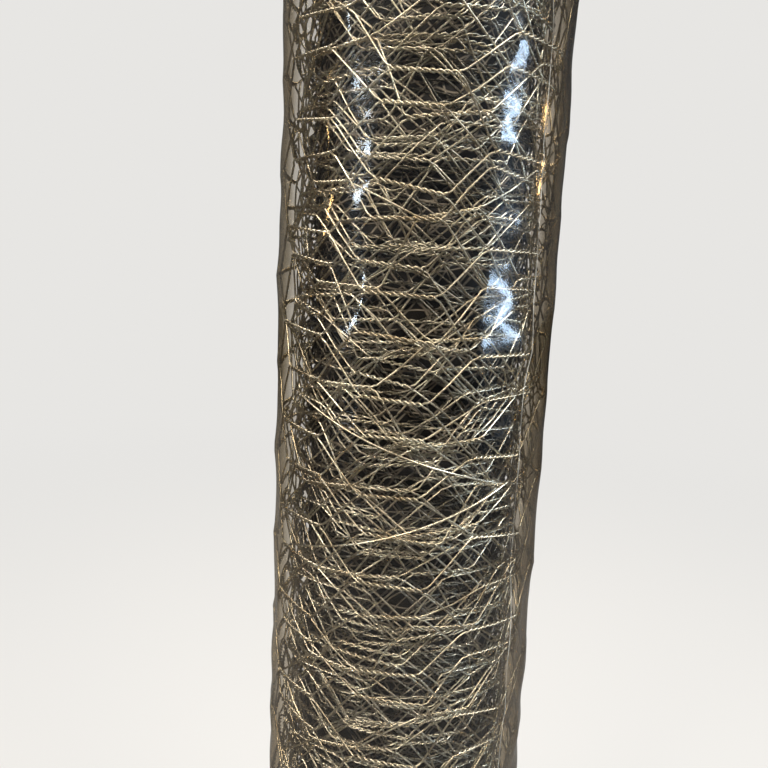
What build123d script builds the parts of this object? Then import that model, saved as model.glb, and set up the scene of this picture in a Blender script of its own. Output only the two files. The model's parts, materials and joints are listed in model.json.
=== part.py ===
"""A roll of hexagonal wire netting for fish traps, standing on its end in a clear film sleeve.

Millimetres, at real size. The origin is on the floor, at the centre of the roll. +Z runs up
the roll's axis, and -Y is its front. The netting is one turned solid with its bore, and each
turn shows on both ends as the ridge of its selvedge. The weave of the netting is fine relief,
and isn't cut into the solid.
"""

import math
import os

from build123d import *

# Netting
net_width = 914.0  # 3 ft stock, from selvedge to selvedge: the height of the standing roll
net_length = 7620.0  # 25 ft of netting in the roll
roll_radius = 59.6
bore_radius = 16.0  # the hollow that the winding mandrel leaves
groove_depth = 1.2  # between the selvedges of two turns
ridge_back = 0.3  # most selvedges end this far short of those that the roll stands on
standing_land = 0.6  # the flat top of a selvedge that the roll stands on
standing_every = 9  # the first turn stands on the floor, and every ninth after it
rim_round = 5.0  # the film pulls the outer turns in to this radius at both rims

# Film sleeve
film_thickness = 0.4
film_gap = 0.1  # from the netting to the film
film_rim_angle = 58.0  # how far the film turns in round the rim, where 90 is onto the end face
film_rim_folds = 2  # the turned-in film is this many straight folds
lap_width = 60.0  # the film's two edges lap over each other by this, around the roll
lap_edge_angle = 44.0  # the free edge of the lap, to the right of the roll's front
lap_end_clear = 7.0  # from the ends of the lap to the ends of the roll

turns = round(net_length / (math.pi * (roll_radius + bore_radius)))
pitch = (roll_radius - bore_radius) / turns
rim_centre_radius = roll_radius - rim_round


def setback(radius):
    """How far the rounded rim lies below the end of the roll at this radius."""
    past_rim = max(0.0, radius - rim_centre_radius)
    return rim_round - math.sqrt(rim_round**2 - past_rim**2)


def end_profile():
    """The lower end's section from the bore outwards: one ridge for the selvedge of each turn."""
    points = [(bore_radius, groove_depth)]
    for turn in range(turns):
        inner = bore_radius + turn * pitch
        middle = inner + pitch / 2
        outer = inner + pitch
        if turn % standing_every == 0 and outer < rim_centre_radius:
            land = standing_land / 2
            points += [(middle - land, 0.0), (middle + land, 0.0)]
        else:
            points.append((middle, ridge_back + setback(middle)))
        points.append((outer, groove_depth + setback(outer)))
    return points


def mirrored(points):
    """The same points at the other end of the roll."""
    return [(radius, net_width - height) for radius, height in points]


end_section = end_profile()

with BuildPart() as mesh_roll:
    with BuildSketch(Plane.XZ):
        with BuildLine():
            Polyline(*end_section, *reversed(mirrored(end_section)), close=True)
        make_face()
    revolve(axis=Axis.Z)
mesh_roll.part.label = "mesh_roll"


film_inner_radius = roll_radius + film_gap
film_outer_radius = film_inner_radius + film_thickness


def around_rim(degrees, radius):
    """A point of the section, this far round the lower rim from the roll's side."""
    angle = math.radians(degrees)
    return (
        rim_centre_radius + radius * math.cos(angle),
        rim_round - radius * math.sin(angle),
    )


def film_rim():
    """The film's inner line at the lower rim, from its edge to the roll's side.

    Each fold touches the rim's own round, so the film clears the netting by its gap.
    """
    clear_round = rim_round + film_gap
    half_fold = film_rim_angle / (2 * film_rim_folds)
    corner_radius = clear_round / math.cos(math.radians(half_fold))
    corners = [around_rim((2 * fold + 1) * half_fold, corner_radius) for fold in range(film_rim_folds)]
    return [around_rim(film_rim_angle, clear_round), *reversed(corners)]


def plane_through_axis(degrees):
    """The upright plane from the roll's axis outwards, this far to the right of its front."""
    angle = math.radians(degrees - 90)
    return Plane(
        origin=(0, 0, 0),
        x_dir=(math.cos(angle), math.sin(angle), 0),
        z_dir=(math.sin(angle), -math.cos(angle), 0),
    )


lap_arc = math.degrees(lap_width / film_outer_radius)

with BuildPart() as film_sleeve:
    with BuildSketch(Plane.XZ):
        with BuildLine():
            Polyline(*film_rim(), *reversed(mirrored(film_rim())))
            offset(amount=film_thickness, side=Side.RIGHT, kind=Kind.INTERSECTION)
        make_face()
    revolve(axis=Axis.Z)
    with BuildSketch(plane_through_axis(lap_edge_angle)):
        with Locations((film_outer_radius, lap_end_clear)):
            Rectangle(
                film_thickness,
                net_width - 2 * lap_end_clear,
                align=(Align.MIN, Align.MIN),
            )
    revolve(axis=Axis.Z, revolution_arc=lap_arc)
film_sleeve.part.label = "film_sleeve"


os.makedirs("parts", exist_ok=True)
export_step(mesh_roll.part, "parts/mesh_roll.step")
export_step(film_sleeve.part, "parts/film_sleeve.step")
print(f"{turns} turns at a pitch of {pitch:.2f} mm")
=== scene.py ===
"""Looks of a roll of hexagonal wire netting in clear film: its wires, its film and a plain studio."""

import json
import math

import bpy
import numpy as np
from mathutils import Matrix, Vector


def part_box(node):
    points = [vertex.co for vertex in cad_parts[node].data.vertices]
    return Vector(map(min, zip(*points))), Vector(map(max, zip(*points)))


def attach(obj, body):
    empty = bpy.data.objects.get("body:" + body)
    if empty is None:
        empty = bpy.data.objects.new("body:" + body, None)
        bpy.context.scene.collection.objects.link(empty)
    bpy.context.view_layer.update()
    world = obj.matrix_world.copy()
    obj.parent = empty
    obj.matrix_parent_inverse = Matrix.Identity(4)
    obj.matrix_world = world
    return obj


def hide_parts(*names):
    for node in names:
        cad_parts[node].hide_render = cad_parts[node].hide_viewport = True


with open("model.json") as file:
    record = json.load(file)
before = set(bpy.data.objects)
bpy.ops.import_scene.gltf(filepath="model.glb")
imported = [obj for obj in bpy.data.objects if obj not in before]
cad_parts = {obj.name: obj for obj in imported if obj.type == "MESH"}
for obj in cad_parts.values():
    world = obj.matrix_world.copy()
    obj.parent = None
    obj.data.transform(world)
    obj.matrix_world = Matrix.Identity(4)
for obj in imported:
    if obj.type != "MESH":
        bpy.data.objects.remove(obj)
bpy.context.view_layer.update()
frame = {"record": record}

# The roll, from the frame
roll_low, roll_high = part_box("mesh_roll")
roll_radius = (roll_high[0] - roll_low[0]) / 2
roll_height = roll_high[2] - roll_low[2]
bore_radius = frame["record"]["mounts"][0]["dims"]["r_mm"] / 1000

# The netting as it comes off the loom, in metres
NET_LENGTH = 7.62
MESH_OPENING = 0.038
TWIST_LENGTH = 0.0275
TWIST_TURNS = 5
COLUMN_STEP = 0.0455  # from the twists of one column to those of the next, about
WIRE_RADIUS = 0.00038
TWIST_RADIUS = 0.00056  # from the middle of a twist to that of its wires
EYE_SIZE = 0.7  # how much wider a twist is at its ends, as a share of its radius
EYE_LENGTH = 0.0014  # in which that falls off
BEND = 0.0030  # how far a wire holds its twist's heading before it turns into its leg
EDGE_MARGIN = 0.0013  # from a selvedge to the end of the roll
rows = round(roll_height / MESH_OPENING)
half_row = (roll_height - 2 * EDGE_MARGIN) / (2 * rows)
wires = 2 * rows

# How it is wound, with azimuths that run to the right from the roll's front
outer_turn_radius = roll_radius - 3 * WIRE_RADIUS
inner_turn_radius = bore_radius + 2 * WIRE_RADIUS
turn_count = NET_LENGTH / (math.pi * (outer_turn_radius + inner_turn_radius))
turn_pitch = (outer_turn_radius - inner_turn_radius) / turn_count
FREE_END_AZIMUTH = math.radians(118)
FRONT_COLUMN_AZIMUTH = math.radians(-5)  # where each turn has a column of twists, about
FRONT_COLUMN_SPREAD = math.radians(15)
RIM_ROUND = 0.005  # the film pulls the outer turns in to this radius at both rims
RIM_FADE = 0.035  # that pull has faded out this far from the end
SAG_SHARE = 0.7  # of the sag that a straight chord has in a round winding
DEEPEST_SAG = 0.45  # of the pitch

# The inner turns show little, so they are drawn packed close together over a core painted dark as
# shade
OPEN_TURNS = 6
PACKED_DEPTH = 0.008
END_WIRES = 4  # wires of the inner turns that are drawn where they lie, at each end
open_length = math.pi * OPEN_TURNS * (2 * outer_turn_radius - OPEN_TURNS * turn_pitch)
packed_radius = outer_turn_radius - OPEN_TURNS * turn_pitch
packed_count = (NET_LENGTH - open_length) / (2 * math.pi * (packed_radius - PACKED_DEPTH / 2))
packed_pitch = PACKED_DEPTH / packed_count
DEEPEST_SHADE = 0.14  # the share of its colour that the deepest wire keeps under the painted shade
SHADED_RADII = (packed_radius - 0.8 * PACKED_DEPTH, packed_radius - 0.2 * PACKED_DEPTH)
END_SHADE_DEPTH = 0.012  # how far below the ends the inner turns are in full painted shade

# How handling has distorted it, in waves between a shortest and a longest length
SEED = 11
PUSH_ALONG = 0.0066  # of a whole patch of twists together
PUSH_ALONG_WAVES = (0.12, 0.36)
PUSH_ACROSS = 0.0034
PUSH_ACROSS_WAVES = (0.09, 0.25)
HELD_ROWS = 3  # half rows that an edge of the netting holds in place, the nearest the most
DRIFT = 0.016  # to either side, as the netting wanders while it is wound
DRIFT_TURNS = 4.4  # there and back
DRIFT_FADE = 0.15  # from the edges, which don't wander
JITTER = 0.0009  # of each twist by itself
TWIST_SPREAD = 0.08  # of the twists' lengths, as a share
LEG_SLACK = 0.02  # by which a leg is longer than the straight way, as a share
LEG_SPREAD = 0.05  # of the legs' lengths, as a share
TILT_SPREAD = math.radians(5)
LEVELLING = 0.05  # of a twist's tilt, taken back in each step
BOW = 0.0006  # of a leg's middle, to either side
BULGE = 0.0003  # of the turns, in and out
BULGE_WAVES = (0.05, 0.2)
EDGE_WAVES = (0.1, 0.4)
SETTLING_STEPS = 60
random = np.random.default_rng(SEED)


def wave_field(shortest, longest, count=12):
    """A smooth random field of about unit size, as a function of two lengths."""
    wavelength = random.uniform(shortest, longest, count)
    heading = random.uniform(0, 2 * math.pi, count)
    phase = random.uniform(0, 2 * math.pi, count)

    def field(along, across):
        total = 0
        for length, angle, start in zip(wavelength, heading, phase):
            reach = along * math.cos(angle) + across * math.sin(angle)
            total = total + np.sin(2 * math.pi * reach / length + start)
        return total * math.sqrt(2 / count)

    return field


def wound(along, radius, pitch):
    """Angle and radius after this length of a winding that starts at this radius."""
    turned = 2 * math.pi / pitch * (radius - np.sqrt(radius**2 - pitch * along / math.pi))
    return turned, radius - pitch * turned / (2 * math.pi)


def spiral(along):
    """Angle round the roll and radius of the winding at a length from the free end."""
    return wound(along, outer_turn_radius, turn_pitch)


def unwound(turned):
    """The length of netting that turns through this angle, the inverse of the spiral."""
    return outer_turn_radius * turned - turn_pitch * turned**2 / (4 * math.pi)


def packed_spiral(along):
    """The spiral, with all the netting below the open turns packed close."""
    below = along > open_length
    turned, radius = spiral(along)
    packed_turned, inner = wound(np.maximum(along - open_length, 0), packed_radius, packed_pitch)
    turned = np.where(below, 2 * math.pi * OPEN_TURNS + packed_turned, turned)
    return turned, np.where(below, inner, radius)


def column_places():
    """Where along the netting each column of twists is.

    The turns nest, so each has a whole number of columns, and one of them lies near the front.
    """
    first = (FRONT_COLUMN_AZIMUTH - FREE_END_AZIMUTH) % (2 * math.pi)
    fronts = first + 2 * math.pi * np.arange(int(turn_count))
    fronts[1:] += random.normal(0, FRONT_COLUMN_SPREAD, len(fronts) - 1)
    before_first = int(unwound(first) / COLUMN_STEP)
    places = [unwound(first) * (1 - np.arange(before_first, 0, -1) / (before_first + 0.5))]
    for start, finish in zip(unwound(fronts), unwound(fronts[1:])):
        count = round((finish - start) / COLUMN_STEP)
        places.append(start + (finish - start) * np.arange(count) / count)
    return np.concatenate(places)


column_along = column_places()
columns = len(column_along) - 1


def pull(start, finish, length):
    """Half the move that brings two ends to this length from each other."""
    gap = finish - start
    return gap * (1 - length / np.abs(gap)) / 2


def settled(left, right, twist_length, leg_length):
    """The ends of the twists, moved until each twist and leg is about its own length again."""
    for _ in range(SETTLING_STEPS):
        twist = pull(left, right, twist_length)
        rising = pull(right[:-1, :-1], left[1:, 1:], leg_length[0][:-1, :-1])
        falling = pull(right[:-1, 1:], left[1:, :-1], leg_length[1][:-1, 1:])
        left = left + twist / 2
        right = right - twist / 2
        right[:-1, :-1] += rising / 2
        left[1:, 1:] -= rising / 2
        right[:-1, 1:] += falling / 2
        left[1:, :-1] -= falling / 2
        slope = (right - left).imag * LEVELLING / 2
        left = left + 1j * slope
        right = right - 1j * slope
        for ends in (left, right):
            ends[:, 0] = ends[:, 0].real
            ends[:, -1] = ends[:, -1].real + 1j * wires * half_row
    return left, right


def twist_ends():
    """Both ends of the twist at each column and half row, as along + 1j * across."""
    column, row = np.meshgrid(np.arange(columns + 1), np.arange(wires + 1), indexing="ij")
    along = column_along[column]
    across = row * half_row
    from_edge = np.minimum(row, wires - row)
    free = np.clip(from_edge / HELD_ROWS, 0, 1)
    push_along = PUSH_ALONG * wave_field(*PUSH_ALONG_WAVES)(along, across)
    push_across = PUSH_ACROSS * wave_field(*PUSH_ACROSS_WAVES)(along, across) * free
    wander = spiral(along)[0] / (2 * math.pi * DRIFT_TURNS)
    drift = DRIFT * (4 * np.abs(wander % 1 - 0.5) - 1)
    drift = drift * np.clip(from_edge * half_row / DRIFT_FADE, 0, 1)
    push = push_along + 1j * (push_across + drift)
    push = push + random.normal(0, JITTER, along.shape)
    push = push + 1j * free * random.normal(0, JITTER, along.shape)
    twist_length = TWIST_LENGTH * (1 + random.normal(0, TWIST_SPREAD, along.shape))
    tilt = free * random.normal(0, TILT_SPREAD, along.shape)
    half = twist_length / 2 * np.exp(1j * tilt)
    centre = along + 1j * across + push
    reach = np.diff(column_along, append=column_along[-1] + COLUMN_STEP) - TWIST_LENGTH
    leg = np.hypot(reach, half_row)[:, None]
    leg_length = leg * (1 + random.normal(LEG_SLACK, LEG_SPREAD, (2, *along.shape)))
    return settled(centre - half, centre + half, twist_length, leg_length)


twist_start, twist_finish = twist_ends()
leg_bow = random.normal(0, BOW, (wires, columns + 1))
bulge = wave_field(*BULGE_WAVES, count=8)
edge_waves = wave_field(*EDGE_WAVES, count=6)


def around_axis(radius, azimuth, height):
    """Points at these radii, azimuths and heights."""
    return np.stack([radius * np.sin(azimuth), -radius * np.cos(azimuth), height], -1)


def rolled(strip, winding=spiral):
    """Points of the flat netting (along, across, outwards) as they lie in the roll."""
    along, across, outwards = strip[..., 0], strip[..., 1], strip[..., 2]
    turned, radius = winding(along)
    radius = radius + outwards + BULGE * bulge(along, across)
    past_rim = np.clip(radius - (roll_radius - RIM_ROUND), 0, RIM_ROUND)
    setback = RIM_ROUND - np.sqrt(RIM_ROUND**2 - past_rim**2)
    z = EDGE_MARGIN + across
    z = z + setback * np.clip(1 - z / RIM_FADE, 0, 1) ** 2
    z = z - setback * np.clip(1 - (roll_height - z) / RIM_FADE, 0, 1) ** 2
    return around_axis(radius, FREE_END_AZIMUTH + turned, z + roll_low[2])


def mesh_from(name, vertices, face_groups):
    """A smooth mesh object from vertices and arrays of faces, each with one count of corners."""
    mesh = bpy.data.meshes.new(name)
    corners = np.concatenate([faces.reshape(-1) for faces in face_groups])
    sizes = np.concatenate([np.full(len(faces), faces.shape[1]) for faces in face_groups])
    mesh.vertices.add(len(vertices))
    mesh.vertices.foreach_set("co", vertices.astype(np.float32).reshape(-1))
    mesh.loops.add(len(corners))
    mesh.loops.foreach_set("vertex_index", corners.astype(np.int32))
    mesh.polygons.add(len(sizes))
    mesh.polygons.foreach_set("loop_start", (np.cumsum(sizes) - sizes).astype(np.int32))
    mesh.update(calc_edges=True)
    mesh.validate()
    mesh.shade_smooth()
    piece = bpy.data.objects.new(name, mesh)
    bpy.context.scene.collection.objects.link(piece)
    return piece


def tube_mesh(name, paths, sides):
    """One mesh of closed round wires along paths, an array of (wire, point, xyz).

    A wire with few sides is drawn a little thicker, so that it looks as thick as a round one.
    """
    count, points = paths.shape[:2]
    radius = WIRE_RADIUS * math.pi / (sides * math.sin(math.pi / sides))
    tangent = np.gradient(paths, axis=1)
    tangent /= np.linalg.norm(tangent, axis=-1, keepdims=True)
    outwards = paths * np.array([1.0, 1.0, 0.0])
    first = outwards - (outwards * tangent).sum(-1, keepdims=True) * tangent
    first /= np.linalg.norm(first, axis=-1, keepdims=True)
    second = np.cross(tangent, first)
    corner = np.arange(sides) * 2 * math.pi / sides
    ring = (
        np.cos(corner)[:, None] * first[:, :, None, :]
        + np.sin(corner)[:, None] * second[:, :, None, :]
    )
    vertices = (paths[:, :, None, :] + radius * ring).reshape(-1, 3)

    wire, point, side = np.meshgrid(
        np.arange(count), np.arange(points - 1), np.arange(sides), indexing="ij"
    )
    here = (wire * points + point) * sides
    following = (side + 1) % sides
    quads = np.stack(
        [here + side, here + following, here + sides + following, here + sides + side], -1
    ).reshape(-1, 4)
    starts = np.arange(count) * points * sides
    finishes = starts + (points - 1) * sides
    loop = np.arange(sides)
    caps = np.concatenate([starts[:, None] + loop[::-1], finishes[:, None] + loop])
    return mesh_from(name, vertices, [quads, caps])


def wire_rows(wire, column):
    """The half row of the twist that a wire is in at a column, and which side it comes from."""
    odd_column = column % 2 == 1
    row = np.where(odd_column, 2 * ((wire + 1) // 2), 2 * (wire // 2) + 1)
    from_above = np.where(odd_column, wire % 2 == 0, wire % 2 == 1)
    return row, np.where(from_above, 1.0, -1.0)


def chord_sag(along):
    """How far the middle of a stiff twist or leg falls inside the winding's round."""
    radius = spiral(along)[1]
    return np.minimum(TWIST_LENGTH**2 / (8 * radius) * SAG_SHARE, turn_pitch * DEEPEST_SAG)


def twist_points(wire, column, share, turns=1):
    """Points of a wire round its twist, at these shares of the twist's length."""
    row, side = wire_rows(wire, column)
    start = twist_start[column, row]
    axis = twist_finish[column, row] - start
    length = np.abs(axis)
    from_end = np.minimum(share, 1 - share) * length
    radius = TWIST_RADIUS * (1 + EYE_SIZE * np.exp(-from_end / EYE_LENGTH))
    angle = 2 * math.pi * turns * share * np.where(column % 2 == 1, 1, -1)
    point = start + axis * share + 1j * axis / length * side * radius * np.cos(angle)
    sag = chord_sag(point.real) * (1 - (2 * share - 1) ** 2)
    return np.stack([point.real, point.imag, side * radius * np.sin(angle) - sag], -1)


def twist_heading(wire, column):
    """The direction of the twist that a wire is in at a column."""
    row = wire_rows(wire, column)[0]
    axis = twist_finish[column, row] - twist_start[column, row]
    axis = axis / np.abs(axis)
    return np.stack([axis.real, axis.imag, 0 * axis.real], -1)


def leg_points(wire, column, share):
    """Points of a wire between its twist at a column and its twist at the next."""
    start = twist_points(wire, column, 1.0)
    finish = twist_points(wire, column + 1, 0.0)
    leave = BEND * twist_heading(wire, column)
    arrive = BEND * twist_heading(wire, column + 1)
    share = share[..., None]
    point = (
        (1 - share) ** 3 * start
        + 3 * (1 - share) ** 2 * share * (start + leave)
        + 3 * (1 - share) * share**2 * (finish - arrive)
        + share**3 * finish
    )
    belly = 1 - (2 * share - 1) ** 2
    chord = finish - start
    beside = np.stack([-chord[..., 1], chord[..., 0], 0 * chord[..., 0]], -1)
    beside /= np.linalg.norm(beside, axis=-1, keepdims=True)
    point = point + beside * leg_bow[wire, column][..., None] * belly
    point[..., 2] -= chord_sag(point[..., 0]) * belly[..., 0]
    return point


# How finely the wires are drawn: turns and steps of a twist, points of a leg and sides of a wire
FINE = (TWIST_TURNS, 40, (0.0, 0.03, 0.08, 0.16, 0.5, 0.84, 0.92, 0.97), 4)
MIDDLE = (TWIST_TURNS, 30, (0.0, 0.08, 0.5, 0.92), 4)
DEEP = (TWIST_TURNS - 1, 16, (0.0, 0.08, 0.5, 0.92), 3)
PACKED = (2, 8, (0.0, 0.1, 0.9), 3)
PACKED_DEEP = (1, 4, (0.0, 0.5), 3)

# How many turns lie outside each piece, the last turn in it, and how finely it is drawn
OPEN_GROUPS = [
    (0, 1, FINE),
    (1, 2, MIDDLE),
    (2, 3, MIDDLE),
    (3, OPEN_TURNS, DEEP),
]
PACKED_GROUPS = [
    (OPEN_TURNS, 9, DEEP),
    (9, 11, DEEP),
    (11, 20, PACKED),
    (20, 31, PACKED_DEEP),
]


def wire_paths(wire_range, column_range, detail, winding=spiral):
    """The paths of some wires through some columns of the wound netting."""
    turns, steps, leg_shares, _ = detail
    wire = np.array(list(wire_range))[:, None, None]
    column = np.arange(*column_range)[None, :, None]
    twist = twist_points(wire, column, (np.arange(steps) / steps)[None, None, :], turns)
    leg = leg_points(wire, column, np.array(leg_shares)[None, None, :])
    strip = np.concatenate([twist, leg], 2).reshape(len(wire), -1, 3)
    joint = twist_points(wire[:, :, 0], np.array([[column_range[1]]]), 0.0)
    return rolled(np.concatenate([strip, joint], 1), winding)


def netting_piece(name, wire_range, column_range, detail, winding=spiral):
    """The wires of some columns of the netting as one mesh."""
    return tube_mesh(name, wire_paths(wire_range, column_range, detail, winding), detail[-1])


def first_column(turn):
    """The first column of a turn, counted from the outermost."""
    return int(np.searchsorted(spiral(column_along)[0] / (2 * math.pi), turn))


def turns_piece(wire_range, group, winding):
    """The piece of netting that holds the turns of a group."""
    first, last, detail = group
    name = f"netting_turn_{last}" if last == first + 1 else f"netting_turns_{first + 1}_to_{last}"
    return netting_piece(name, wire_range, (first_column(first), first_column(last)), detail, winding)


def open_turns():
    """The outer turns of the netting, whole."""
    return [turns_piece(range(wires), group, spiral) for group in OPEN_GROUPS]


def packed_turns():
    """The rest of the netting between its edges, packed close over the core."""
    between_edges = range(END_WIRES, wires - END_WIRES)
    return [turns_piece(between_edges, group, packed_spiral) for group in PACKED_GROUPS]


def inner_edges():
    """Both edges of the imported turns, where they really lie."""
    span = (first_column(OPEN_TURNS), columns)
    lower, upper = range(END_WIRES), range(wires - END_WIRES, wires)
    return [
        netting_piece("netting_inner_lower_edge", lower, span, PACKED_DEEP),
        netting_piece("netting_inner_upper_edge", upper, span, PACKED_DEEP),
    ]


SELVEDGE_LAY = 0.012  # the length in which its two wires go once round each other
SELVEDGE_WAVE = 0.0003
SELVEDGE_SIDES = 3
FINE_SELVEDGE = 2.6  # the length from the free end that is drawn in fine steps
FINE_STEP = 0.003
COARSE_STEP = 0.006


def selvedge(name, height, inwards):
    """The two wires that run along an edge of the netting, wound round each other."""
    fine = np.arange(0, FINE_SELVEDGE, FINE_STEP)
    coarse = np.arange(FINE_SELVEDGE, column_along[-1], COARSE_STEP)
    along = np.concatenate([fine, coarse])
    across = height + inwards * SELVEDGE_WAVE * (1 + np.clip(edge_waves(along, height), -1, 1))
    angle = 2 * math.pi * along / SELVEDGE_LAY
    strands = []
    for phase in (0, math.pi):
        beside = across + WIRE_RADIUS * np.cos(angle + phase)
        strands.append(np.stack([along, beside, WIRE_RADIUS * np.sin(angle + phase)], -1))
    return tube_mesh(name, rolled(np.array(strands)), SELVEDGE_SIDES)


# Azimuth in degrees and height in metres of both ends of each loose wire
LOOSE_WIRES = [
    (-52, 0.499, 44, 0.466),
    (-52, 0.434, 44, 0.468),
]
LOOSE_DROOP = 0.003
LOOSE_STEPS = 48
LOOSE_SIDES = 6


def loose_wires():
    """Wires that have come out of their twists and lie slack under the outer turn."""
    ends = np.array(LOOSE_WIRES)[:, None, :]
    share = np.linspace(0, 1, LOOSE_STEPS + 1)[None, :]
    azimuth = np.radians(ends[..., 0] + (ends[..., 2] - ends[..., 0]) * share)
    straight = ends[..., 1] + (ends[..., 3] - ends[..., 1]) * share
    height = straight - LOOSE_DROOP * np.sin(math.pi * share)
    paths = around_axis(outer_turn_radius - TWIST_RADIUS, azimuth, height)
    return tube_mesh("netting_loose_wires", paths, LOOSE_SIDES)


CORE_MARGIN = 0.035  # from the ends of the core to those of the roll
CORE_CLEAR = 0.0003  # from the core to the bore
CORE_SEGMENTS = 64


def packed_core():
    """The innermost turns, packed close, as one ring round the bore, painted dark as shade."""
    radius = packed_radius - PACKED_DEPTH
    inside = bore_radius + CORE_CLEAR
    low, high = roll_low[2] + CORE_MARGIN, roll_high[2] - CORE_MARGIN
    outline = np.array([(inside, low), (radius, low), (radius, high), (inside, high)])
    angle = np.arange(CORE_SEGMENTS)[:, None] * 2 * math.pi / CORE_SEGMENTS
    x = outline[None, :, 0] * np.cos(angle)
    y = outline[None, :, 0] * np.sin(angle)
    z = np.broadcast_to(outline[None, :, 1], x.shape)
    vertices = np.stack([x, y, z], -1).reshape(-1, 3)
    turn, point = np.meshgrid(np.arange(CORE_SEGMENTS), np.arange(4), indexing="ij")
    here, after = turn * 4, (turn + 1) % CORE_SEGMENTS * 4
    beside = (point + 1) % 4
    quads = np.stack([here + point, after + point, after + beside, here + beside], -1)
    core = mesh_from("netting_core", vertices, [quads.reshape(-1, 4)])
    around = (turn[..., None] + np.array([0, 1, 1, 0])) * 2 * math.pi * radius / CORE_SEGMENTS
    unrolled = np.stack([around, vertices[quads, 2]], -1).astype(np.float32)
    core.data.uv_layers.new(name="unrolled").data.foreach_set("uv", unrolled.reshape(-1))
    return core


# The film
FILM_CLEAR = 0.00015  # from the wires that hold it
FILM_THICKNESS = 0.0002
LAP_EDGE = math.radians(44)
LAP_WIDTH = 0.060
LAP_SETTLED = 1.2  # radians from the free edge, where the outer layer is down on the wires again
FILM_EDGE = 0.00045  # the width of the pale strips at the cut edge and the crease
CREASE_COLUMN = 2
EDGE_WANDER = 0.0012
EDGE_WANDER_WAVES = (0.035, 0.25)
EDGE_WANDER_FADE = 0.5  # radians from the free edge, where the wander has faded out
EDGE_WANDER_SLANT = 3  # how much faster the wander changes round the roll than up it
FILM_STIFFNESS = 12.0  # how much stiffer it is up the roll than round it
FILM_SLACK = 0.00020  # the height of its buckles
BUCKLE_WAVES = (0.022, 0.045)
DEEPEST_FILM = 0.004  # below the roll's radius, where no wire holds the film
STRETCHING_STEPS = 600
HOLDING_POINTS = 7  # in each step of a wire that holds the film
FILM_AROUND = 150
FILM_ROWS = 224
FILM_RIM_ROWS = 4
FILM_RIM_TURN = math.radians(62)
film_step = 2 * math.pi / FILM_AROUND
film_columns = FILM_AROUND + round(LAP_WIDTH / (roll_radius * film_step))
film_row_step = (roll_height - 2 * RIM_ROUND) / FILM_ROWS


def points_between(paths, count):
    """The points of the paths, with this many in each of their steps."""
    share = (np.arange(count) / count)[None, None, :, None]
    start, finish = paths[:, :-1, None, :], paths[:, 1:, None, :]
    return (start + (finish - start) * share).reshape(-1, 3)


def held_film():
    """The least radius of the film at each column and row of its grid, where wires hold it out."""
    paths = wire_paths(range(wires), (0, first_column(2)), MIDDLE)
    points = points_between(paths, HOLDING_POINTS)
    azimuth = np.arctan2(points[:, 0], -points[:, 1])
    column = np.round((azimuth - LAP_EDGE) / film_step).astype(int) % FILM_AROUND
    row = np.round((points[:, 2] - roll_low[2] - RIM_ROUND) / film_row_step).astype(int)
    inside = (row >= 0) & (row <= FILM_ROWS)
    reach = np.hypot(points[:, 0], points[:, 1]) + WIRE_RADIUS + FILM_CLEAR
    held = np.full((FILM_AROUND, FILM_ROWS + 1), roll_radius - DEEPEST_FILM)
    np.maximum.at(held, (column[inside], row[inside]), reach[inside])
    return held


def buckled():
    """Small soft buckles of about unit size, at each column and row of the film's grid."""
    angle = LAP_EDGE + np.arange(FILM_AROUND)[:, None] * film_step
    height = np.arange(FILM_ROWS + 1)[None, :] * film_row_step
    buckles = wave_field(*BUCKLE_WAVES)(roll_radius * np.sin(angle), height)
    return buckles + wave_field(*BUCKLE_WAVES)(roll_radius * np.cos(angle), height)


def taut_film():
    """Radius of the film, stretched over the outer wires, at each column and row of its grid."""
    held = held_film()
    around_weight = 1 / (roll_radius * film_step) ** 2
    up_weight = FILM_STIFFNESS / film_row_step**2
    film = held
    for _ in range(STRETCHING_STEPS):
        around = np.roll(film, 1, 0) + np.roll(film, -1, 0)
        edged = np.pad(film, ((0, 0), (1, 1)), mode="edge")
        up = edged[:, 2:] + edged[:, :-2]
        pulled = around * around_weight + up * up_weight - 1 / roll_radius
        film = np.maximum(held, pulled / (2 * around_weight + 2 * up_weight))
    return np.maximum(held, film + FILM_SLACK * buckled())


def with_rims(radius):
    """Radius and height of the film at each column and row, with both rims turned in."""
    level = 0 * radius[:, :1]
    height = RIM_ROUND + np.arange(FILM_ROWS + 1)[None, :] * film_row_step + level
    bend = np.arange(1, FILM_RIM_ROWS + 1)[None, :] / FILM_RIM_ROWS * FILM_RIM_TURN
    inwards = RIM_ROUND * (1 - np.cos(bend))
    lower = (radius[:, :1] - inwards)[:, ::-1]
    upper = radius[:, -1:] - inwards
    below = RIM_ROUND - RIM_ROUND * np.sin(bend) + level
    radius = np.concatenate([lower, radius, upper], 1)
    return radius, np.concatenate([below[:, ::-1], height, roll_height - below], 1)


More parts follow.
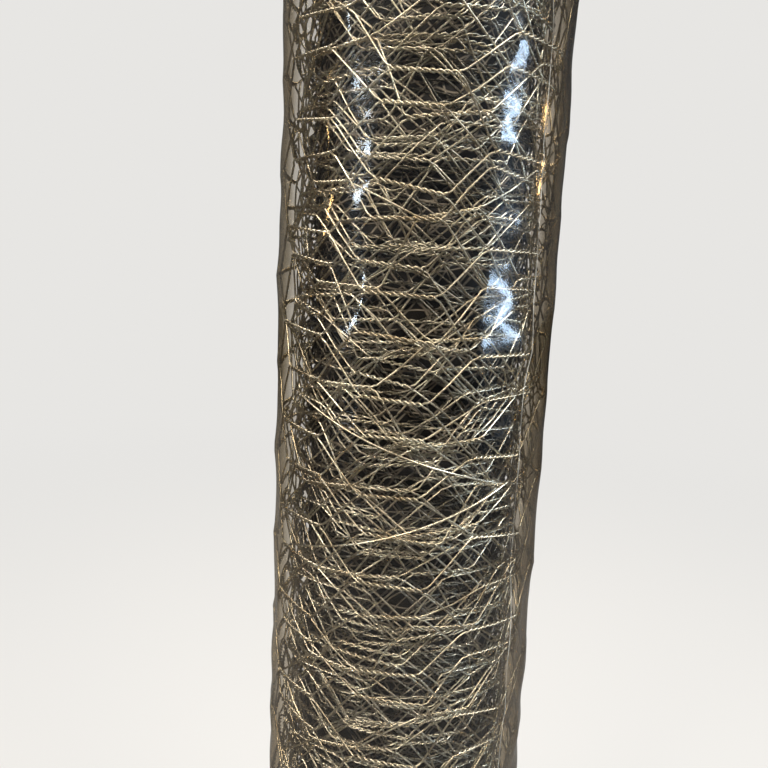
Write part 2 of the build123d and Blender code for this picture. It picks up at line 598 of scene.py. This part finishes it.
def film_sheet():
    """The film from the free edge of its lap round the roll and under itself.

    The cut edge and the crease are narrow pale strips between two copies of a column.
    """
    column = np.sort(np.append(np.arange(film_columns + 1), [0, CREASE_COLUMN]))
    pale = np.diff(column) == 0
    turned = (column * film_step)[:, None]
    turned[1:][pale] += FILM_EDGE / roll_radius
    lift = FILM_THICKNESS * (1 + np.clip(1 - turned / LAP_SETTLED, 0, 1))
    lift[0] += FILM_EDGE
    radius, height = with_rims(taut_film()[column % FILM_AROUND] + lift)
    near_edge = np.clip(1 - turned / EDGE_WANDER_FADE, 0, 1)
    round_roll = EDGE_WANDER_SLANT * roll_radius * turned
    wander = EDGE_WANDER * wave_field(*EDGE_WANDER_WAVES)(height, round_roll)
    azimuth = LAP_EDGE + turned + near_edge * wander / roll_radius
    vertices = around_axis(radius, azimuth, height + roll_low[2])

    width = radius.shape[1]
    strip, face = np.meshgrid(np.arange(len(pale)), np.arange(width - 1), indexing="ij")
    corner = strip * width + face
    quads = np.stack([corner, corner + width, corner + width + 1, corner + 1], -1)
    sheet = mesh_from("film_wrap", vertices.reshape(-1, 3), [quads.reshape(-1, 4)])
    sheet.data.materials.append(film_finish())
    sheet.data.materials.append(cut_edge())
    finish = np.repeat(pale, width - 1).astype(np.int32)
    sheet.data.polygons.foreach_set("material_index", finish)
    return sheet


def new_material(name):
    """An empty node material and its node tree."""
    material = bpy.data.materials.new(name)
    material.use_nodes = True
    material.node_tree.nodes.clear()
    return material, material.node_tree


def add_node(tree, kind, inputs):
    """A new shader node. Each of its inputs gets a value or a link from another node's output."""
    node = tree.nodes.new("ShaderNode" + kind)
    for socket, source in inputs.items():
        if isinstance(source, bpy.types.NodeSocket):
            tree.links.new(source, node.inputs[socket])
        else:
            node.inputs[socket].default_value = source
    return node


def object_place(tree):
    """Where a point of the surface is, in the object's own space."""
    return add_node(tree, "TexCoord", {}).outputs["Object"]


def noise(tree, place, scale, detail=2.0):
    """Soft noise of this scale."""
    inputs = {"Vector": place, "Scale": scale, "Detail": detail}
    return add_node(tree, "TexNoise", inputs).outputs["Fac"]


def calculated(tree, operation, *numbers, clamp=False):
    """The result of an operation on numbers and on outputs of other nodes."""
    node = add_node(tree, "Math", dict(enumerate(numbers)))
    node.operation = operation
    node.use_clamp = clamp
    return node.outputs["Value"]


def length_of(tree, vector):
    """The length of a vector."""
    node = add_node(tree, "VectorMath", {0: vector})
    node.operation = "LENGTH"
    return node.outputs["Value"]


def in_range(tree, value, old, new=(0.0, 1.0), smooth=False):
    """The value, taken from an old range to a new one and kept in it."""
    inputs = {
        "Value": value,
        "From Min": old[0],
        "From Max": old[1],
        "To Min": new[0],
        "To Max": new[1],
    }
    node = add_node(tree, "MapRange", inputs)
    if smooth:
        node.interpolation_type = "SMOOTHSTEP"
    return node.outputs["Result"]


def tinted(tree, factor, low, high):
    """A colour that goes from a low one to a high one, each with the factor it is reached at."""
    node = add_node(tree, "ValToRGB", {"Fac": factor})
    for element, (position, colour) in zip(node.color_ramp.elements, (low, high)):
        element.position = position
        element.color = (*colour, 1)
    return node.outputs["Color"]


def shader_of(tree, kind, inputs):
    """The output of a shader with these inputs."""
    return add_node(tree, kind, inputs).outputs["BSDF"]


def mixed(tree, factor, first, second):
    """The first shader where the factor is 0 and the second where it is 1."""
    return add_node(tree, "MixShader", {"Fac": factor, 1: first, 2: second}).outputs["Shader"]


def shade_near_ends(tree, place):
    """Painted shade near the ends: 1 at both ends of the roll, falling to the deepest shade a little
    way in.
    """
    height = add_node(tree, "SeparateXYZ", {"Vector": place}).outputs["Z"]
    above_middle = calculated(tree, "SUBTRACT", height, (roll_low[2] + roll_high[2]) / 2)
    from_middle = calculated(tree, "ABSOLUTE", above_middle)
    near_end = (roll_height / 2 - END_SHADE_DEPTH, roll_height / 2 - 2 * EDGE_MARGIN)
    return in_range(tree, from_middle, near_end, (DEEPEST_SHADE, 1.0))


# The sockets of a Mix node that are colours, since its numbers and vectors have the same names
MIX_FIRST_COLOUR = 6
MIX_SECOND_COLOUR = 7
MIX_COLOUR = 2


def shaded_by_depth(tree, place, colour):
    """The colour with painted shade: darker with depth, so that packed turns look as deep as they
    really are.
    """
    flat = add_node(tree, "Mapping", {"Vector": place, "Scale": (1, 1, 0)}).outputs["Vector"]
    shade = in_range(tree, length_of(tree, flat), SHADED_RADII, (DEEPEST_SHADE, 1.0))
    nearest = calculated(tree, "MAXIMUM", shade, shade_near_ends(tree, place))
    shaded = tree.nodes.new("ShaderNodeMix")
    shaded.data_type = "RGBA"
    shaded.blend_type = "MULTIPLY"
    shaded.inputs["Factor"].default_value = 1.0
    tree.links.new(colour, shaded.inputs[MIX_FIRST_COLOUR])
    tree.links.new(nearest, shaded.inputs[MIX_SECOND_COLOUR])
    return shaded.outputs[MIX_COLOUR]


def galvanised_wire(name, packed=False):
    """Dull zinc with a warm bloom, darker stains and fine scratches, and for packed turns painted
    shade that darkens with depth.
    """
    material, tree = new_material(name)
    place = object_place(tree)
    stain = noise(tree, place, 60, 4)
    colour = tinted(tree, stain, (0.3, (0.42, 0.35, 0.24)), (0.62, (0.82, 0.77, 0.63)))
    # Packed turns get painted shade: darker with depth, and lighter again near the ends
    if packed:
        colour = shaded_by_depth(tree, place, colour)
    rough = in_range(tree, noise(tree, place, 900), (0.0, 1.0), (0.24, 0.32))
    inputs = {"Base Color": colour, "Roughness": rough, "Metallic": 0.95}
    add_node(tree, "OutputMaterial", {"Surface": shader_of(tree, "BsdfPrincipled", inputs)})
    return material


# The wires drawn on the core: heading in degrees, spacing in metres and wobble of each family
CORE_LINES = [
    (45, 0.0075, 3.0),
    (-45, 0.0075, 3.0),
    (52, 0.011, 5.0),
    (-40, 0.013, 5.0),
    (90, 0.008, 4.0),
]
CORE_LINE_WIDTH = 1.3 * WIRE_RADIUS


def stripes(tree, unrolled, heading, spacing, wobble):
    """Thin lines in one direction of the unrolled surface, 1 on a line and 0 between."""
    rotation = (0, 0, math.radians(heading))
    turned = add_node(tree, "Mapping", {"Vector": unrolled, "Rotation": rotation})
    inputs = {
        "Vector": turned.outputs["Vector"],
        "Scale": math.pi / (10 * spacing),
        "Distortion": wobble,
        "Detail": 1.0,
    }
    wave = add_node(tree, "TexWave", inputs).outputs["Fac"]
    edge_of_line = math.cos(math.pi * CORE_LINE_WIDTH / spacing) ** 2
    return in_range(tree, wave, (edge_of_line, 1.0))


def painted_shade_core_finish():
    """The innermost turns: the dark depth of the roll as painted shade, with dim lines of wires
    crossing in it.
    """
    material, tree = new_material("packed_turns")
    unrolled = add_node(tree, "TexCoord", {}).outputs["UV"]
    families = [stripes(tree, unrolled, *family) for family in CORE_LINES]
    lines = families[0]
    for family in families[1:]:
        lines = calculated(tree, "MAXIMUM", lines, family)
    # Painted shade: near black between the lines, and the lines dim, as deep wires lie in shade
    colour = tinted(tree, lines, (0.0, (0.006, 0.005, 0.004)), (1.0, (0.21, 0.18, 0.14)))
    bump = add_node(tree, "Bump", {"Distance": WIRE_RADIUS, "Height": lines})
    inputs = {
        "Base Color": colour,
        "Roughness": 0.5,
        "Specular IOR Level": 0.1,
        "Normal": bump.outputs["Normal"],
    }
    add_node(tree, "OutputMaterial", {"Surface": shader_of(tree, "BsdfPrincipled", inputs)})
    return material


FILM_INDEX = 1.7  # above its real 1.5, because a thin sheet shines from both of its faces
GLOSS_COLOUR = (0.93, 0.96, 1.0, 1)
SHARP_GLOSS = 0.10
SOFT_GLOSS = 0.24
SOFT_GLOSS_SHARE = 0.3
THICKEST_HAZE = 0.18


def film_gloss(tree, normal):
    """The film's shine: a sharp one with a wide soft one round it."""
    sharp, soft = (
        shader_of(tree, "BsdfGlossy", {"Color": GLOSS_COLOUR, "Roughness": rough, "Normal": normal})
        for rough in (SHARP_GLOSS, SOFT_GLOSS)
    )
    return mixed(tree, SOFT_GLOSS_SHARE, sharp, soft)


def film_body(tree, place):
    """The film itself: see-through, and hazy in long soft folds where it is seen at a slant, where it
    is also darker and browner, partly from its own haze and partly as painted shade on the roll's
    sides.
    """
    grazing = add_node(tree, "LayerWeight", {"Blend": 0.5}).outputs["Facing"]
    # At a slant the film is tinted dark brown: partly the film's own look through more plastic,
    # partly painted shade for the roll's shaded sides
    film_tint_with_painted_shade = tinted(tree, grazing, (0.25, (0.97, 0.97, 0.97)), (0.8, (0.54, 0.48, 0.38)))
    clear = shader_of(tree, "BsdfTransparent", {"Color": film_tint_with_painted_shade})
    milky = shader_of(tree, "BsdfDiffuse", {"Color": (0.30, 0.25, 0.17, 1)})
    stretched = add_node(tree, "Mapping", {"Vector": place, "Scale": (110, 110, 9)})
    folds = noise(tree, stretched.outputs["Vector"], 1.0)
    thickest = in_range(tree, folds, (0.42, 0.62), (0.0, THICKEST_HAZE))
    haze = in_range(tree, grazing, (0.5, 1.0), (0.0, thickest), smooth=True)
    return mixed(tree, haze, clear, milky)


def film_finish():
    """Clear film that shines as much from its back as from its front."""
    material, tree = new_material("clear_film")
    place = object_place(tree)
    crinkle = noise(tree, place, 24, 2.5)
    bump = add_node(tree, "Bump", {"Strength": 0.3, "Distance": 0.006, "Height": crinkle})
    normal = bump.outputs["Normal"]
    from_behind = add_node(tree, "NewGeometry", {}).outputs["Backfacing"]
    index = in_range(tree, from_behind, (0.0, 1.0), (FILM_INDEX, 1 / FILM_INDEX))
    shine = add_node(tree, "Fresnel", {"IOR": index, "Normal": normal}).outputs["Fac"]
    surface = mixed(tree, shine, film_body(tree, place), film_gloss(tree, normal))
    add_node(tree, "OutputMaterial", {"Surface": surface})
    return material


def cut_edge():
    """The film's cut edge and the crease beside it, which are milky, thin, pale lines."""
    material, tree = new_material("film_cut_edge")
    clear = shader_of(tree, "BsdfTransparent", {})
    milky = shader_of(tree, "BsdfDiffuse", {"Color": (0.62, 0.61, 0.56, 1)})
    patches = noise(tree, object_place(tree), 40)
    cover = in_range(tree, patches, (0.35, 0.6), (0.15, 0.75))
    add_node(tree, "OutputMaterial", {"Surface": mixed(tree, cover, clear, milky)})
    return material


def place_netting(pieces, finish):
    """Pieces of the netting in their finish, standing in for the roll."""
    for piece in pieces:
        piece.data.materials.append(finish)
        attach(piece, "root")
        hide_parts("mesh_roll")


selvedges = [
    selvedge("selvedge_lower", 0, 1),
    selvedge("selvedge_upper", wires * half_row, -1),
]
open_netting = open_turns() + selvedges + [loose_wires()]
place_netting(open_netting, galvanised_wire("galvanised_wire"))
# The packed turns and inner edges are darkened with depth as painted shade
place_netting(packed_turns() + inner_edges(), galvanised_wire("packed_wire_painted_shade", packed=True))
# The core is painted dark as the shade deep in the roll
place_netting([packed_core()], painted_shade_core_finish())

film = film_sheet()
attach(film, "root")
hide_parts("film_sleeve")


# The studio
PALE = (0.80, 0.79, 0.77, 1)
BACKDROP_IN_METAL = 0.05  # the wires lie deep in the roll, and mirror little of the backdrop
FLOOR_SIZE = 12
FLOOR_FADE = (0.3, 2.2)  # from where the floor starts to melt into the backdrop to where it has
PAINTED_SHADOW_RADII = (0.8 * roll_radius, 1.5 * roll_radius)  # from full painted shadow to none
PAINTED_SHADOW_LIGHT = 0.03


def pale_floor():
    """A pale floor, dark under the roll with a painted shadow, that melts into the backdrop far from
    it.
    """
    material, tree = new_material("pale_floor")
    matt = shader_of(tree, "BsdfDiffuse", {"Color": (0.15, 0.145, 0.14, 1)})
    distance = length_of(tree, object_place(tree))
    # Painted shadow: the floor's own glow dims under and round the roll
    under = in_range(tree, distance, PAINTED_SHADOW_RADII, (PAINTED_SHADOW_LIGHT, 1.0), smooth=True)
    fill = add_node(tree, "Emission", {"Color": (0.66, 0.66, 0.65, 1), "Strength": under})
    near = add_node(tree, "AddShader", {0: matt, 1: fill.outputs["Emission"]})
    beyond = add_node(tree, "Emission", {"Color": PALE})
    fade = in_range(tree, distance, FLOOR_FADE, smooth=True)
    seen = mixed(tree, fade, near.outputs["Shader"], beyond.outputs["Emission"])
    by_camera = add_node(tree, "LightPath", {}).outputs["Is Camera Ray"]
    add_node(tree, "OutputMaterial", {"Surface": mixed(tree, by_camera, matt, seen)})
    return material


def backdrop():
    """A world that is a pale backdrop and a little soft light."""
    world = bpy.data.worlds.new("studio")
    bpy.context.scene.world = world
    world.use_nodes = True
    tree = world.node_tree
    tree.nodes.clear()
    soft = add_node(tree, "Background", {"Color": (0.95, 0.97, 1.0, 1), "Strength": 0.03})
    pale = add_node(tree, "Background", {"Color": PALE, "Strength": 1.0})
    ray = add_node(tree, "LightPath", {}).outputs
    seen = calculated(tree, "MAXIMUM", ray["Is Camera Ray"], ray["Is Transmission Ray"])
    shown = calculated(
        tree, "MULTIPLY_ADD", ray["Is Glossy Ray"], BACKDROP_IN_METAL, seen, clamp=True
    )
    surface = mixed(tree, shown, soft.outputs["Background"], pale.outputs["Background"])
    add_node(tree, "OutputWorld", {"Surface": surface})


def studio():
    """A pale floor in front of a pale backdrop."""
    bpy.ops.mesh.primitive_plane_add(size=FLOOR_SIZE, location=(0, 0, roll_low[2]))
    floor = bpy.context.object
    floor.name = "floor"
    floor.data.materials.append(pale_floor())
    backdrop()


WARM = (1.0, 0.91, 0.78)
DAYLIGHT = (0.80, 0.90, 1.0)
SKY = (0.62, 0.80, 1.0)
ORANGE = (1.0, 0.60, 0.22)
SOFT_BOX = (0.38, 0.38)
WIDE_BOX = (0.60, 0.60)
SPOT = (0.10, 0.05)
WINDOW = (0.50, 0.06)
BULB = (0.05, 0.05)


def area_lamp(name, place, size, power, colour):
    """A soft rectangular lamp at a place, turned to the middle of the roll."""
    data = bpy.data.lights.new(name, "AREA")
    data.shape = "RECTANGLE"
    data.size, data.size_y = size
    data.energy = power
    data.color = colour
    lamp = bpy.data.objects.new(name, data)
    lamp.location = place
    towards = Vector((0, 0, roll_height / 2)) - Vector(place)
    lamp.rotation_euler = towards.to_track_quat("-Z", "Y").to_euler()
    bpy.context.scene.collection.objects.link(lamp)


def lamps():
    """Soft lamps round the roll, and small low ones that the film mirrors as patches and glints."""
    area_lamp("left_key", (-0.60, -0.95, 1.55), SOFT_BOX, 20, WARM)
    area_lamp("right_key", (0.70, -0.80, 1.60), SOFT_BOX, 16, WARM)
    area_lamp("left_side", (-0.98, -0.62, 1.45), SOFT_BOX, 9, WARM)
    area_lamp("right_side", (0.98, -0.62, 1.45), SOFT_BOX, 12, DAYLIGHT)
    area_lamp("front", (0.00, -1.05, 1.75), SOFT_BOX, 9, WARM)
    area_lamp("back", (0.30, 1.20, 1.70), WIDE_BOX, 30, WARM)
    for height in (0.40, 0.70, 0.94):
        area_lamp("spot", (-1.08, -0.90, height), SPOT, 0.5, DAYLIGHT)
    for height in (0.50, 0.86):
        area_lamp("window", (1.22, -0.44, height), WINDOW, 1.9, SKY)
    for place in ((-1.30, -0.30, 0.66), (1.20, 0.25, 0.74)):
        area_lamp("bulb", place, BULB, 0.4, ORANGE)


# The camera, worked out from the photograph
PHOTO_SIDE = 768
FOCAL_PIXELS = 740
AXIS_PIXELS_RIGHT = 28
PITCH_DOWN = math.radians(9.5)
CAMERA_ROLL = math.radians(2.5)
CAMERA_HEIGHT = 0.55
CAMERA_DISTANCE = 5.4 * roll_radius


def photo_camera():
    """The camera that sees the roll as the photograph does."""
    data = bpy.data.cameras.new("photo_camera")
    data.sensor_width = 36
    data.lens = FOCAL_PIXELS / PHOTO_SIDE * data.sensor_width
    data.clip_start = 0.01
    camera = bpy.data.objects.new("photo_camera", data)
    yaw = math.atan(AXIS_PIXELS_RIGHT / FOCAL_PIXELS)
    facing = (
        Matrix.Rotation(yaw, 4, "Z")
        @ Matrix.Rotation(math.pi / 2 - PITCH_DOWN, 4, "X")
        @ Matrix.Rotation(CAMERA_ROLL, 4, "Z")
    )
    camera.matrix_world = Matrix.Translation((0, -CAMERA_DISTANCE, CAMERA_HEIGHT)) @ facing
    bpy.context.scene.collection.objects.link(camera)
    bpy.context.scene.camera = camera


studio()
lamps()
photo_camera()
bpy.context.scene.view_settings.view_transform = "Standard"
